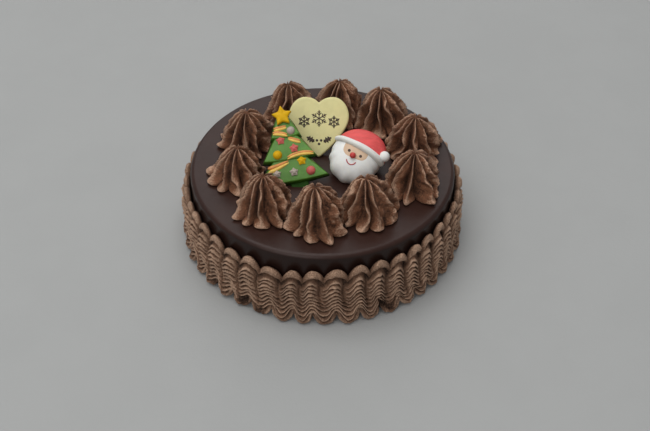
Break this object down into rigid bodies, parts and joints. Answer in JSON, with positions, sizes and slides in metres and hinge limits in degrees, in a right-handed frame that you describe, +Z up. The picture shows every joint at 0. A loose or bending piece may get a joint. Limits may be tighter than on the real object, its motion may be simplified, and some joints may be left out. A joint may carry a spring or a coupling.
{
  "type": "chocolate cake",
  "caption": "Round chocolate cake with a dark glaze, a combed cream frill piped round its side, a ring of cream rosettes and moulded sugar toppers on top.",
  "frame": {"origin": "centre of the flat underside that the cake stands on", "axes": "+Z up through the middle of the cake, -Y towards the front, where the toppers face, and +X to the right seen from the front"},
  "size_m": [0.179, 0.179, 0.0857],
  "materials": {
    "glaze": "satin dark chocolate glaze",
    "cream": "matte chocolate cream",
    "ivory": "smooth white chocolate",
    "green_sugar": "satin moulded sugar",
    "yellow_sugar": "satin moulded sugar",
    "red_sugar": "satin moulded sugar",
    "white_sugar": "matte moulded sugar"
  },
  "bodies": {
    "root": {"glazed_cake": "glaze", "side_frill": "cream", "rosette_01": "cream", "rosette_02": "cream", "rosette_03": "cream", "rosette_04": "cream", "rosette_05": "cream", "rosette_06": "cream", "rosette_07": "cream", "rosette_08": "cream", "rosette_09": "cream", "rosette_10": "cream", "heart_plaque": "ivory", "tree_body": "green_sugar", "tree_star": "yellow_sugar", "head_beard": "white_sugar", "head_cap": "red_sugar", "head_brim": "white_sugar", "head_pompom": "white_sugar", "head_nose": "red_sugar"}
  },
  "joints": []
}
